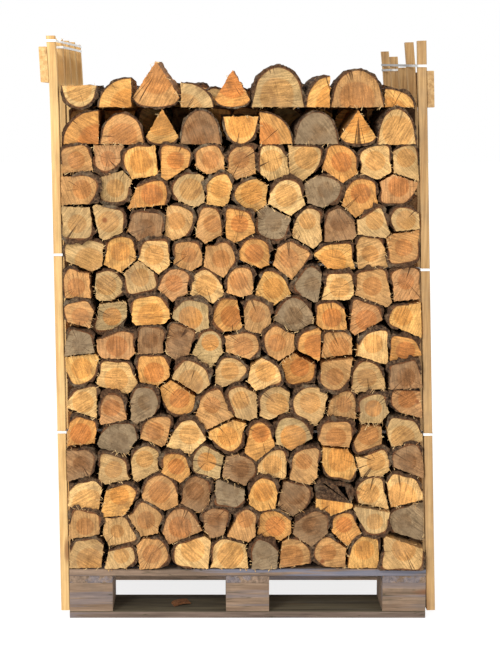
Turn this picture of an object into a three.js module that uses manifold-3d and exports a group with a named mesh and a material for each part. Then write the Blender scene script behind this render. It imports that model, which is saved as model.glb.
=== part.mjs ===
// A pallet load of split firewood: a block pallet, upright laths nailed to both short ends,
// a rail along the top of each row of laths, flat ties, and three banks of short billets.
// Millimetres. X runs along the long side, the seen face of the stack looks along -Y, Z is up,
// and the origin is on the floor under the middle of the pallet.
import * as THREE from "three";
import { mergeVertices } from "three/addons/utils/BufferGeometryUtils.js";
import Module from "manifold-3d";

const wasm = await Module();
wasm.setup();

// Pallet.
const PALLET_X = 1200;
const PALLET_Y = 800;
const BOARD = 23;
const BLOCK = 145;
const BLOCK_H = 100;
const CHAMFER = 2;
const GAP = 0.3;
const DECK_WIDTHS = [145, 100, 145, 100, 145];
const DECK_TOP = 3 * BOARD + BLOCK_H;

// Laths, rails and ties.
const LATH_X = 28;
const LATH_Y = 30;
const LATH_FOOT = 27;
const LATH_ROWS = [-385, -192.5, 0, 192.5, 385];
const LEFT_TOPS = [1950, 1950, 1952, 1956, 1955];
const RIGHT_TOPS = [1934, 1938, 1858, 1903, 1930];
const LEFT_SLOPE = -0.0103;
const RIGHT_SLOPE = -0.0308;
// How far each lath is bent to the left at its tip, above the height where the bend starts.
const LEFT_BENDS = [9, 9, 9, 9, 9];
const RIGHT_BENDS = [0, 11, 8, 9, 13];
const BEND_FROM = 1650;
const BEND_OVER = 300;
const TIE = 8;
const TIE_THICK = 1.4;

// Stack.
const BILLET = 250;
const FRONT = -400;
const BANK_GAP = 12;
const CUT_GAP = 1;

const root = new THREE.Group();
root.name = "firewood_pallet";

const COLOURS = {
  pallet: ["#8f7c6b", 0.85],
  lath: ["#d9b478", 0.7],
  tie: ["#e8e6e0", 0.5],
  billet: ["#d39a55", 0.85],
  bark: ["#5c4a3c", 0.95],
};

function add(name, geometry, slot) {
  const [color, roughness] = COLOURS[slot];
  const material = new THREE.MeshStandardMaterial({ color, roughness, metalness: 0 });
  material.name = slot;
  const mesh = new THREE.Mesh(geometry, material);
  mesh.name = name;
  root.add(mesh);
  return mesh;
}

// A plank with chamfered long edges: its length runs along X, centred on the origin.
function plank(length, width, height, steps = 1) {
  const w = width / 2;
  const h = height / 2;
  const c = CHAMFER;
  const shape = new THREE.Shape();
  shape.moveTo(-w + c, -h);
  shape.lineTo(w - c, -h);
  shape.lineTo(w, -h + c);
  shape.lineTo(w, h - c);
  shape.lineTo(w - c, h);
  shape.lineTo(-w + c, h);
  shape.lineTo(-w, h - c);
  shape.lineTo(-w, -h + c);
  shape.closePath();
  const made = new THREE.ExtrudeGeometry(shape, { depth: length, steps, bevelEnabled: false });
  made.translate(0, 0, -length / 2);
  made.rotateY(Math.PI / 2);
  made.rotateX(Math.PI / 2);
  return made;
}

// Pallet: three base boards, nine blocks, three cross boards and five deck boards.
const ROW_Y = [-(PALLET_Y - BLOCK) / 2, 0, (PALLET_Y - BLOCK) / 2];
const ROW_NAMES = ["front", "middle", "rear"];
const COLUMN_X = [-(PALLET_X - BLOCK) / 2, 0, (PALLET_X - BLOCK) / 2];
const COLUMN_NAMES = ["left", "centre", "right"];

function level(index) {
  return index === 0 ? 0 : BOARD + (index > 1 ? BLOCK_H : 0) + (index > 2 ? BOARD : 0);
}

ROW_Y.forEach((y, row) => {
  const base = plank(PALLET_X, BLOCK, BOARD - GAP);
  base.translate(0, y, (BOARD - GAP) / 2);
  add("base_board_" + ROW_NAMES[row], base, "pallet");
  COLUMN_X.forEach((x, column) => {
    const block = plank(BLOCK, BLOCK, BLOCK_H - GAP);
    block.translate(x, y, level(1) + (BLOCK_H - GAP) / 2);
    add("block_" + ROW_NAMES[row] + "_" + COLUMN_NAMES[column], block, "pallet");
  });
});

COLUMN_X.forEach((x, column) => {
  const cross = plank(PALLET_Y, BLOCK, BOARD - GAP);
  cross.rotateZ(Math.PI / 2);
  cross.translate(x, 0, level(2) + (BOARD - GAP) / 2);
  add("cross_board_" + COLUMN_NAMES[column], cross, "pallet");
});

const free = PALLET_Y - DECK_WIDTHS.reduce((sum, width) => sum + width, 0);
let edge = -PALLET_Y / 2;
DECK_WIDTHS.forEach((width, index) => {
  const deck = plank(PALLET_X, width, BOARD - GAP);
  deck.translate(0, edge + width / 2, level(3) + (BOARD - GAP) / 2);
  add("deck_board_" + (index + 1), deck, "pallet");
  edge += width + free / (DECK_WIDTHS.length - 1);
});

// The middle line of a row of laths at height z, on the left (-1) or the right (1).
function lathX(side, z) {
  if (side < 0) {
    return -(PALLET_X + LATH_X) / 2 - 0.6 + LEFT_SLOPE * (z - LATH_FOOT);
  }
  return (PALLET_X + LATH_X) / 2 + 0.6 + RIGHT_SLOPE * (z - DECK_TOP);
}

// How far a lath of this bend is pushed to the left at height z.
function bent(bend, z) {
  return -bend * (Math.max(0, z - BEND_FROM) / BEND_OVER) ** 2;
}

function bend(geometry, amount) {
  const place = geometry.getAttribute("position");
  for (let i = 0; i < place.count; i++) {
    place.setX(i, place.getX(i) + bent(amount, place.getZ(i)));
  }
  return geometry;
}

function leaning(geometry, side, height) {
  geometry.rotateY(Math.atan(side < 0 ? LEFT_SLOPE : RIGHT_SLOPE));
  geometry.translate(lathX(side, height), 0, height);
  return geometry;
}

[-1, 1].forEach((side) => {
  const tops = side < 0 ? LEFT_TOPS : RIGHT_TOPS;
  const bends = side < 0 ? LEFT_BENDS : RIGHT_BENDS;
  LATH_ROWS.forEach((y, index) => {
    const length = tops[index] - LATH_FOOT;
    const lath = plank(length, LATH_Y, LATH_X, 24);
    lath.rotateY(Math.PI / 2);
    leaning(lath, side, LATH_FOOT + length / 2);
    lath.translate(0, y, 0);
    bend(lath, bends[index]);
    add("lath_" + (side < 0 ? "left_" : "right_") + (index + 1), lath, "lath");
  });
});

// Rails along the outside of each row, near the top.
[
  { side: -1, name: "rail_left", thick: 26, tall: 115, top: 1915 },
  { side: 1, name: "rail_right", thick: 22, tall: 119, top: 1836 },
].forEach(({ side, name, thick, tall, top }) => {
  const rail = plank(PALLET_Y, thick, tall);
  rail.rotateZ(Math.PI / 2);
  rail.translate(side * (LATH_X / 2 + 0.8 + thick / 2), 0, 0);
  add(name, bend(leaning(rail, side, top - tall / 2), side < 0 ? LEFT_BENDS[0] : RIGHT_BENDS[0]), "lath");
});

function solid(geometry) {
  const bare = geometry.index ? geometry.toNonIndexed() : geometry.clone();
  bare.deleteAttribute("normal");
  bare.deleteAttribute("uv");
  const merged = mergeVertices(bare, 1e-3);
  return new wasm.Manifold(
    new wasm.Mesh({
      numProp: 3,
      vertProperties: merged.attributes.position.array,
      triVerts: new Uint32Array(merged.index.array),
    }),
  );
}

function geometryOf(made) {
  const mesh = made.getMesh();
  const positions = new Float32Array(mesh.numVert * 3);
  for (let i = 0; i < mesh.numVert; i++) {
    for (let k = 0; k < 3; k++) {
      positions[3 * i + k] = mesh.vertProperties[i * mesh.numProp + k];
    }
  }
  const geometry = new THREE.BufferGeometry();
  geometry.setAttribute("position", new THREE.BufferAttribute(positions, 3));
  geometry.setIndex(new THREE.BufferAttribute(new Uint32Array(mesh.triVerts), 1));
  return geometry;
}

function slab(sx, sy, sz, x, y, z) {
  const made = new THREE.BoxGeometry(sx, sy, sz);
  made.translate(x, y, z);
  return made;
}

// A flat tie standing on edge round a run of laths. It follows their faces, and climbs by rise
// from the first lath to the last.
function band(side, first, last, z, rise = 0) {
  const bends = side < 0 ? LEFT_BENDS : RIGHT_BENDS;
  const clear = 0.8;
  const inner = [];
  const outer = [];
  for (let i = first; i <= last; i++) {
    const up = last > first ? (rise * (i - first)) / (last - first) : 0;
    const x = lathX(side, z + up) + bent(bends[i], z + up);
    const hx = LATH_X / 2 + clear;
    const ends = [
      LATH_ROWS[i] - LATH_Y / 2 - (i === first ? clear : 0),
      LATH_ROWS[i] + LATH_Y / 2 + (i === last ? clear : 0),
    ];
    ends.forEach((y) => {
      inner.push([x - hx, y]);
      outer.push([x + hx, y]);
    });
  }
  const t = TIE_THICK;
  const ring = (left, right, out) => {
    const points = left.map(([x, y], i) => [x - out, y + (i === 0 ? -out : i === left.length - 1 ? out : 0)]);
    const back = right.map(([x, y], i) => [x + out, y + (i === 0 ? -out : i === right.length - 1 ? out : 0)]);
    return points.concat(back.reverse()).map(([x, y]) => new THREE.Vector2(x, y));
  };
  const shape = new THREE.Shape(ring(inner, outer, t).reverse());
  shape.holes.push(new THREE.Path(ring(inner, outer, 0)));
  const made = new THREE.ExtrudeGeometry(shape, { depth: TIE, bevelEnabled: false });
  made.translate(0, 0, z - TIE / 2);
  const place = made.getAttribute("position");
  const y0 = LATH_ROWS[first];
  const span = LATH_ROWS[last] - y0 || 1;
  for (let i = 0; i < place.count; i++) {
    place.setZ(i, place.getZ(i) + (rise * (place.getY(i) - y0)) / span);
  }
  return made;
}

// The stiff bight left standing at a knot: a small ring in an upright plane.
function bight(x, y, z, r) {
  const ring = new THREE.Shape();
  ring.absellipse(0, 0, r, r * 0.62, 0, 2 * Math.PI, false);
  const hole = new THREE.Path();
  hole.absellipse(0, 0, r - 2.2, r * 0.62 - 2.2, 0, 2 * Math.PI, true);
  ring.holes.push(hole);
  const made = new THREE.ExtrudeGeometry(ring, { depth: 3, bevelEnabled: false, curveSegments: 10 });
  made.rotateZ(Math.PI / 4);
  made.rotateX(Math.PI / 2);
  made.translate(x, y, z);
  return made;
}

const knotX = lathX(-1, 1940) + bent(LEFT_BENDS[0], 1940) + LATH_X / 2;
const knot = solid(bight(knotX + 12, -330, 1949, 13));
const knotArm = solid(slab(12, 3, 14, knotX + 5, -331.5, 1938));
const bandLeft = solid(band(-1, 0, 4, 1934, 14)).add(knotArm).add(knot);
add("tie_left_upper", geometryOf(bandLeft), "tie");
add("tie_left_lower", band(-1, 1, 4, 1921, 9), "tie");
add("tie_right_upper", band(1, 0, 4, 1853, 25), "tie");
add("tie_right_lower", band(1, 3, 4, 1854, 4), "tie");

// Ties through the stack from front lath to front lath, knotted round each.
const CROSS_Y = -372;
const CROSS_TIES = [
  { name: "tie_cross_low", left: 641, right: 633 },
  { name: "tie_cross_high", left: 1236, right: 1186 },
];

// A straight strip from lath to lath, or the channel that clears it through the stack.
function strip({ left, right }, extra, clear) {
  const xa = lathX(-1, left) + LATH_X / 2 + 1;
  const xb = lathX(1, right) - LATH_X / 2 - 1;
  const run = Math.hypot(xb - xa, right - left) + extra;
  const made = slab(run, TIE_THICK + clear, TIE + clear, 0, 0, 0);
  made.rotateY(-Math.atan2(right - left, xb - xa));
  made.translate((xa + xb) / 2, CROSS_Y, (left + right) / 2);
  return solid(made);
}

function crossTie(tie) {
  return strip(tie, 0, 0)
    .add(solid(band(-1, 0, 0, tie.left)))
    .add(solid(band(1, 0, 0, tie.right)));
}

CROSS_TIES.forEach((tie) => add(tie.name, geometryOf(crossTie(tie)), "tie"));

// How far left and right the stack reaches between the laths, at a height above the deck.
const STACK_CLEAR = 8;
const stackLeft = (z) => -PALLET_X / 2 + STACK_CLEAR + LEFT_SLOPE * z;
const stackRight = (z) => PALLET_X / 2 - STACK_CLEAR + RIGHT_SLOPE * z;

// Points of an ellipse about a centre, from one angle to another, in half turns.
function ellipse(x, z, wide, tall, from, to) {
  const steps = 12;
  return Array.from({ length: steps + 1 }, (_, i) => {
    const angle = Math.PI * (from + ((to - from) * i) / steps);
    return new THREE.Vector2(x + wide * Math.cos(angle), z + tall * Math.sin(angle));
  });
}

// The sawn end of each kind of split, filling a box whose lower left corner is x, z.
const SPLITS = {
  half: (x, z, wide, tall) => ellipse(x + wide / 2, z, wide / 2, tall, 1, 0),
  slab: (x, z, wide, tall) => ellipse(x + wide / 2, z + tall, wide / 2, tall, 1, 2),
  quarter_left: (x, z, wide, tall) => [
    ...ellipse(x + wide, z, wide, tall, 1, 0.5),
    new THREE.Vector2(x + wide, z),
  ],
  quarter_right: (x, z, wide, tall) => [
    new THREE.Vector2(x, z),
    ...ellipse(x, z, wide, tall, 0.5, 0),
  ],
  wedge: (x, z, wide, tall) => [
    ...ellipse(x + wide / 2, z + 0.2 * tall, wide / 2, 0.2 * tall, 1, 2),
    new THREE.Vector2(x + wide / 2, z + tall),
  ],
};

// The outline moved in (negative) or out (positive) by a distance, corner by corner.
function moved(points, distance) {
  const area = THREE.ShapeUtils.area(points);
  const sign = area < 0 ? 1 : -1;
  return points.map((point, i) => {
    const before = points[(i + points.length - 1) % points.length];
    const after = points[(i + 1) % points.length];
    const a = point.clone().sub(before).normalize();
    const b = after.clone().sub(point).normalize();
    const normal = new THREE.Vector2(-(a.y + b.y), a.x + b.x).normalize();
    const cosine = Math.max(0.45, -a.y * normal.x + a.x * normal.y);
    return point.clone().addScaledVector(normal, (sign * distance) / cosine);
  });
}

function billet(points, front, rear) {
  const made = new THREE.ExtrudeGeometry(new THREE.Shape(points), {
    depth: rear - front,
    bevelEnabled: false,
  });
  made.rotateX(Math.PI / 2);
  made.translate(0, rear, 0);
  return made;
}

// The two highest courses of the front bank, left to right: [kind of split, width, height].
// The widths of a course are scaled together so that it fills the space between the laths.
const BILLET_GAP = 4;
const COURSE_RISE = 120;
const LOWER_COURSE = 1430;
const TOP_COURSES = [
  [
    ["quarter_left", 120, 110], ["half", 150, 100], ["wedge", 110, 115], ["half", 140, 110],
    ["slab", 120, 90], ["quarter_right", 110, 105], ["half", 150, 105], ["wedge", 120, 110],
    ["half", 130, 115],
  ],
  [
    ["slab", 120, 70], ["quarter_left", 110, 95], ["wedge", 160, 150], ["quarter_right", 110, 80],
    ["wedge", 120, 120], ["half", 180, 130], ["quarter_left", 80, 100], ["half", 180, 120],
    ["quarter_right", 100, 60],
  ],
];

// The outlines of one course, side by side from the left laths to the right ones.
function course(splits, base) {
  const top = base + Math.max(...splits.map(([, , tall]) => tall));
  const room = stackRight(top) - stackLeft(base) - BILLET_GAP * (splits.length - 1);
  const scale = room / splits.reduce((sum, [, wide]) => sum + wide, 0);
  let x = stackLeft(base);
  return splits.map(([kind, wide, tall]) => {
    const points = SPLITS[kind](x, DECK_TOP + base, wide * scale, tall);
    x += wide * scale + BILLET_GAP;
    return points;
  });
}

const topOutlines = TOP_COURSES.flatMap((splits, row) => course(splits, LOWER_COURSE + row * COURSE_RISE));
const FRONT_REAR = FRONT + BILLET;

topOutlines.forEach((points, index) => {
  const front = FRONT + ((index * 37) % 23) - 11;
  const name = "billet_" + String(index + 1).padStart(2, "0");
  add(name, billet(points, front, FRONT_REAR), "billet");
});

// Each bank of stacked billets is one body up to the tips of its billets: straight at the laths,
// with a row of humps along its top.
const BANK_TOP = 1560;
const HUMP_RISE = 70;

function largest(made) {
  const bodies = made.decompose();
  return bodies.reduce((best, body) => (body.volume() > best.volume() ? body : best));
}

function bankOutline(top, humps, rise) {
  const left = stackLeft(top);
  const pitch = (stackRight(top + rise) - left) / Math.max(humps, 1);
  const points = [new THREE.Vector2(stackLeft(0), DECK_TOP + 0.5), new THREE.Vector2(left, DECK_TOP + top)];
  for (let i = 0; i < humps; i += 1) {
    const tall = rise * (0.7 + 0.3 * Math.cos(2.4 * i));
    points.push(...ellipse(left + pitch * (i + 0.5), DECK_TOP + top, 0.47 * pitch, tall, 1, 0));
  }
  points.push(new THREE.Vector2(stackRight(top), DECK_TOP + top));
  points.push(new THREE.Vector2(stackRight(0), DECK_TOP + 0.5));
  return points;
}

let frontBank = solid(billet(bankOutline(BANK_TOP - 20, 0, 0), FRONT, FRONT_REAR));
topOutlines.forEach((points) => {
  const cutter = billet(moved(points, CUT_GAP), FRONT - 50, FRONT_REAR + 50);
  frontBank = frontBank.subtract(solid(cutter));
});
CROSS_TIES.forEach((tie) => {
  frontBank = frontBank.subtract(strip(tie, 200, 1.2));
});
add("bank_front", geometryOf(largest(frontBank)), "billet");

const middleFront = FRONT_REAR + BANK_GAP;
const middleRear = middleFront + BILLET + 13;
add("bank_middle", billet(bankOutline(BANK_TOP, 8, HUMP_RISE), middleFront, middleRear), "billet");
const rearFront = middleRear + BANK_GAP;
add("bank_rear", billet(bankOutline(BANK_TOP, 9, HUMP_RISE), rearFront, -FRONT), "billet");

// A chip of bark lying loose on the front base board, between the blocks.
const chip = new THREE.Shape();
chip.moveTo(0, 0);
chip.quadraticCurveTo(30, 9, 62, 2);
chip.lineTo(58, 7);
chip.quadraticCurveTo(30, 14, 4, 6);
chip.closePath();
const chipBody = new THREE.ExtrudeGeometry(chip, { depth: 34, bevelEnabled: false, curveSegments: 6 });
chipBody.rotateX(Math.PI / 2);
chipBody.rotateZ(0.35);
chipBody.translate(-260, -330, BOARD - GAP + 0.4);
add("bark_chip", chipBody, "bark");

export default root;
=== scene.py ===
"""Looks for a pallet load of split firewood.

The pallet, laths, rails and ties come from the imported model. The billets are made here one by one:
each is the outline of its sawn end, drawn back along the stack, with its own layer of bark.
"""

import logging
import math
import random
import sys
from dataclasses import dataclass, field
from enum import Enum

import bmesh
import bpy
from mathutils import Matrix, Vector, noise

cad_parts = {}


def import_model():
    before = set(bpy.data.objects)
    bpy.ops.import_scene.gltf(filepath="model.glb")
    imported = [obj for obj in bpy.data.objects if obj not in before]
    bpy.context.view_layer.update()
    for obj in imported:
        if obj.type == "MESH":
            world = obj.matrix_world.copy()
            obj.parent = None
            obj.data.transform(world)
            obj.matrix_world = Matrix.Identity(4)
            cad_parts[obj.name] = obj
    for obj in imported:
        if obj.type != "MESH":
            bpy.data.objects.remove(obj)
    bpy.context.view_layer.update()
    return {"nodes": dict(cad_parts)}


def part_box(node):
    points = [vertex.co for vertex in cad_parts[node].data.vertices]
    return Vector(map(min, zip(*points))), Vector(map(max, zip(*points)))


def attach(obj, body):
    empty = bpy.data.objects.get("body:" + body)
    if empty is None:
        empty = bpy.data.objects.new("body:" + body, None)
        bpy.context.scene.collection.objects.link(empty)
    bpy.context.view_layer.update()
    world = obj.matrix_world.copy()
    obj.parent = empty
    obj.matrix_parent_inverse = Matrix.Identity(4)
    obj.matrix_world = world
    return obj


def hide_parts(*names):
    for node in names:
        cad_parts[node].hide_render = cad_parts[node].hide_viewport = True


LOG = logging.getLogger("firewood")
BODY = "root"
DECK_TOP = 0.169
CM = 0.01


def linear(red: int, green: int, blue: int) -> tuple[float, float, float, float]:
    """Turns an 8-bit display colour into linear light.

    Args:
        red: Red, 0 to 255.
        green: Green, 0 to 255.
        blue: Blue, 0 to 255.

    Returns:
        The colour as linear red, green, blue and an alpha of 1.
    """

    def channel(value: int) -> float:
        """Returns one channel in linear light."""
        share = value / 255
        return share / 12.92 if share <= 0.04045 else ((share + 0.055) / 1.055) ** 2.4

    return (channel(red), channel(green), channel(blue), 1.0)


class Tone(Enum):
    """Kinds of wood in the stack: colour under the bark, colour of the heart, weathering, sapwood edge."""

    ORANGE = ((224, 158, 84), (208, 130, 62), 0.1, 0.62)
    GOLD = ((234, 174, 96), (222, 152, 74), 0.08, 0.66)
    TAN = ((212, 156, 94), (196, 132, 72), 0.18, 0.6)
    LIGHT = ((236, 188, 120), (226, 166, 94), 0.08, 0.68)
    PALE = ((220, 176, 114), (210, 154, 88), 0.24, 0.62)
    HEART = ((208, 170, 112), (220, 150, 76), 0.3, 0.62)
    GREY = ((166, 138, 102), (146, 114, 78), 0.62, 0.5)
    RED = ((208, 150, 94), (198, 128, 70), 0.18, 0.6)
    BROWN = ((172, 126, 82), (150, 102, 60), 0.34, 0.6)
    DARK = ((104, 78, 52), (84, 58, 36), 0.15, 0.5)
    GRAIN = ((226, 176, 112), (206, 148, 84), 0.1, 0.5)
    BURL = ((196, 146, 92), (166, 108, 60), 0.35, 0.5)
    ROTTEN = ((214, 168, 104), (196, 140, 76), 0.25, 0.5)

    @property
    def gnarl(self) -> float:
        """How pitted and knotty the end is, 0 to 1."""
        return {Tone.BURL: 1.0, Tone.ROTTEN: 0.8, Tone.BROWN: 0.25, Tone.GREY: 0.3}.get(self, 0.0)

    @property
    def tint(self) -> tuple[float, float, float, float]:
        """Colour of the wood under the bark."""
        return linear(*self.value[0])

    @property
    def core(self) -> tuple[float, float, float, float]:
        """Colour of the wood near the pith."""
        return linear(*self.value[1])

    @property
    def weathering(self) -> float:
        """How grey the wood has gone, 0 to 1."""
        return self.value[2]

    @property
    def sap_edge(self) -> float:
        """Where heartwood ends, as a share of the trunk's radius."""
        return self.value[3]


class Grain(Enum):
    """Which way the fibres of a sawn piece run."""

    ALONG_X = (3.0, 70.0, 70.0)
    ALONG_Y = (70.0, 3.0, 70.0)
    ALONG_Z = (70.0, 70.0, 2.2)


class Graph:
    """Adds shader nodes to one material and joins them."""

    def __init__(self, name: str) -> None:
        """Starts a material that has only its output and one glossy-diffuse shader.

        Args:
            name: The material's name.
        """
        self.material = bpy.data.materials.new(name)
        self.material.use_nodes = True
        self.tree = self.material.node_tree
        self.tree.nodes.clear()
        self.shader = self.tree.nodes.new("ShaderNodeBsdfPrincipled")
        end = self.tree.nodes.new("ShaderNodeOutputMaterial")
        self.tree.links.new(self.shader.outputs["BSDF"], end.inputs["Surface"])

    def node(self, kind: str, links: dict | None = None, **values: object) -> bpy.types.Node:
        """Adds a node.

        Args:
            kind: The node's type name.
            links: Socket name or index to the output, number or colour it takes.
            values: Properties set on the node itself.

        Returns:
            The new node.
        """
        made = self.tree.nodes.new(kind)
        for key, value in values.items():
            setattr(made, key, value)
        for key, value in (links or {}).items():
            self.feed(made.inputs[key], value)
        return made

    def feed(self, socket: bpy.types.NodeSocket, value: object) -> None:
        """Links an output to a socket, or sets the socket to a plain value."""
        if isinstance(value, bpy.types.NodeSocket):
            self.tree.links.new(value, socket)
        else:
            socket.default_value = value

    def place(self) -> bpy.types.NodeSocket:
        """Returns the object coordinates."""
        return self.node("ShaderNodeTexCoord").outputs["Object"]

    def attribute(self, name: str, output: str) -> bpy.types.NodeSocket:
        """Returns one output of a named attribute of the mesh."""
        return self.node("ShaderNodeAttribute", attribute_name=name).outputs[output]

    def split(self, vector: bpy.types.NodeSocket) -> list[bpy.types.NodeSocket]:
        """Returns the three parts of a vector."""
        return list(self.node("ShaderNodeSeparateXYZ", {0: vector}).outputs)

    def join(self, x: object, y: object, z: object) -> bpy.types.NodeSocket:
        """Returns a vector made of three numbers."""
        return self.node("ShaderNodeCombineXYZ", {0: x, 1: y, 2: z}).outputs[0]

    def sum(self, operation: str, a: object, b: object = 0.0, clamp: bool = False) -> bpy.types.NodeSocket:
        """Returns the result of one step of arithmetic on a and b."""
        made = self.node("ShaderNodeMath", {0: a, 1: b}, operation=operation, use_clamp=clamp)
        return made.outputs[0]

    def stretch(self, vector: object, scale: tuple[float, float, float]) -> bpy.types.NodeSocket:
        """Returns coordinates scaled along each axis."""
        return self.node("ShaderNodeMapping", {"Vector": vector, "Scale": scale}).outputs[0]

    def noise(
        self, vector: object, scale: float, detail: float = 3.0, rough: float = 0.55
    ) -> bpy.types.NodeSocket:
        """Returns a cloud pattern from 0 to 1, mostly near 0.5."""
        links = {"Vector": vector, "Scale": scale, "Detail": detail, "Roughness": rough}
        return self.node("ShaderNodeTexNoise", links).outputs["Fac"]

    def step(
        self, value: object, low: float, high: float, to_low: float = 0.0, to_high: float = 1.0
    ) -> bpy.types.NodeSocket:
        """Returns value eased from to_low to to_high as it passes from low to high."""
        links = {"Value": value, "From Min": low, "From Max": high, "To Min": to_low, "To Max": to_high}
        made = self.node("ShaderNodeMapRange", links, interpolation_type="SMOOTHSTEP")
        return made.outputs["Result"]

    def mix(self, share: object, a: object, b: object, blend: str = "MIX") -> bpy.types.NodeSocket:
        """Returns colour a with share of colour b blended over it."""
        made = self.node("ShaderNodeMix", {0: share, 6: a, 7: b}, data_type="RGBA", blend_type=blend)
        return made.outputs[2]

    def grey(self, value: bpy.types.NodeSocket) -> bpy.types.NodeSocket:
        """Returns a number as a shade of grey."""
        return self.node("ShaderNodeCombineColor", {0: value, 1: value, 2: value}).outputs[0]

    def finish(
        self, colour: object, height: object, depth: float, strength: float, roughness: float
    ) -> bpy.types.Material:
        """Sets the shader's colour, relief and roughness.

        Args:
            colour: The surface colour.
            height: Pattern of the relief.
            depth: Depth of the relief in metres.
            strength: Share of the relief that shows.
            roughness: The shader's roughness.

        Returns:
            The finished material.
        """
        bump = self.node("ShaderNodeBump", {"Height": height, "Distance": depth, "Strength": strength})
        self.feed(self.shader.inputs["Base Color"], colour)
        self.feed(self.shader.inputs["Normal"], bump.outputs[0])
        self.shader.inputs["Roughness"].default_value = roughness
        self.shader.inputs["Specular IOR Level"].default_value = 0.25
        return self.material


@dataclass(frozen=True)
class SawnEnd:
    """Finish of a billet's sawn end: heart and sapwood, rings, saw marks, checks, knots and stain."""

    ring_gap: float = 0.0045
    marks: tuple[float, float, float] = (190.0, 20.0, 16.0)
    weathered: tuple[float, float, float, float] = linear(138, 116, 88)
    pit: tuple[float, float, float, float] = linear(70, 46, 26)
    inner_bark: tuple[float, float, float, float] = linear(112, 66, 36)
    knot: tuple[float, float, float, float] = linear(128, 70, 36)
    check: tuple[float, float, float, float] = linear(54, 30, 16)
    dirt: tuple[float, float, float, float] = linear(120, 82, 48)
    roughness: float = 0.85

    def material(self) -> bpy.types.Material:
        """Returns the finish as a material."""
        g = Graph("sawn end of a billet")
        place = g.place()
        weathering, seed, sap_edge = g.split(g.attribute("stock", "Vector"))
        heart_x, heart_z, radius = g.split(g.attribute("heart", "Vector"))
        x, _, z = g.split(place)
        dx = g.sum("SUBTRACT", x, heart_x)
        dz = g.sum("SUBTRACT", z, heart_z)
        reach = g.sum("SQRT", g.sum("ADD", g.sum("MULTIPLY", dx, dx), g.sum("MULTIPLY", dz, dz)))
        wobble = g.noise(place, 11.0, 2.0)
        share = g.sum("ADD", g.sum("DIVIDE", reach, radius), g.sum("MULTIPLY", wobble, 0.3))
        share = g.sum("SUBTRACT", share, g.sum("ADD", sap_edge, 0.15))
        colour = g.mix(g.step(share, -0.05, 0.06), g.attribute("core", "Color"), g.attribute("tint", "Color"))
        phase = g.sum(
            "ADD", g.sum("MULTIPLY", reach, 2 * math.pi / self.ring_gap), g.sum("MULTIPLY", wobble, 34.0)
        )
        rings = g.step(g.sum("SINE", phase), -1.0, 1.0)
        colour = g.mix(0.3, colour, g.grey(g.step(rings, 0.0, 1.0, 0.62, 1.0)), "MULTIPLY")
        turned = g.node(
            "ShaderNodeVectorRotate",
            {"Vector": place, "Angle": g.sum("MULTIPLY", seed, 5.3)},
            rotation_type="Y_AXIS"
        )
        streaks = g.noise(g.stretch(turned.outputs[0], self.marks), 1.0, 4.0, 0.65)
        colour = g.mix(0.9, colour, g.grey(g.step(streaks, 0.3, 0.7, 0.62, 1.28)), "MULTIPLY")
        speckle = g.noise(place, 210.0, 4.0, 0.7)
        colour = g.mix(0.8, colour, g.grey(g.step(speckle, 0.3, 0.7, 0.72, 1.2)), "MULTIPLY")
        cloud = g.noise(place, 24.0, 5.0, 0.62)
        colour = g.mix(0.9, colour, g.grey(g.step(cloud, 0.3, 0.7, 0.66, 1.2)), "MULTIPLY")
        soiled = g.noise(place, 17.0, 4.0, 0.6)
        colour = g.mix(g.step(soiled, 0.54, 0.72, 0.0, 0.5), colour, self.dirt)
        stain = g.sum(
            "MULTIPLY",
            g.step(g.noise(place, 12.0, 3.0), 0.36, 0.64),
            g.sum("MULTIPLY", weathering, 1.35),
            True
        )
        colour = g.mix(stain, colour, self.weathered)
        spot = g.node("ShaderNodeTexVoronoi", {"Vector": place, "Scale": 7.0}).outputs["Distance"]
        colour = g.mix(g.step(spot, 0.085, 0.03, 0.0, 0.8), colour, self.knot)
        turn = g.sum("ADD", g.sum("MULTIPLY", g.sum("ARCTAN2", dz, dx), 1.6), g.sum("MULTIPLY", seed, 90.0))
        turn = g.sum("ADD", turn, g.sum("MULTIPLY", g.sum("SUBTRACT", cloud, 0.5), 0.12))
        spokes = g.noise(g.join(turn, g.sum("MULTIPLY", seed, 37.0), 0.37), 1.5, 0.0)
        open_check = g.step(g.sum("ABSOLUTE", g.sum("SUBTRACT", spokes, 0.5)), 0.003, 0.012, 1.0, 0.0)
        open_check = g.sum("MULTIPLY", open_check, g.step(g.noise(place, 9.0, 1.0), 0.5, 0.58))
        colour = g.mix(g.sum("MULTIPLY", open_check, 0.85), colour, self.check)
        gnarl = g.sum("SUBTRACT", 1.0, g.attribute("tint", "Alpha"))
        pits = g.sum("MULTIPLY", g.step(g.noise(place, 42.0, 5.0, 0.7), 0.5, 0.6), gnarl)
        colour = g.mix(g.sum("MULTIPLY", pits, 0.75), colour, self.pit)
        open_check = g.sum("ADD", open_check, g.sum("MULTIPLY", pits, 2.0))
        rim = g.sum("ADD", g.attribute("rim", "Fac"), g.sum("MULTIPLY", g.sum("SUBTRACT", cloud, 0.5), 1.0))
        colour = g.mix(g.step(rim, 0.3, 0.9, 0.0, 0.9), colour, self.inner_bark)
        relief = g.sum("ADD", streaks, g.sum("MULTIPLY", speckle, 0.7))
        relief = g.sum("SUBTRACT", g.sum("ADD", relief, g.sum("MULTIPLY", cloud, 1.5)), open_check)
        return g.finish(colour, relief, 0.003, 0.6, self.roughness)


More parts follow.
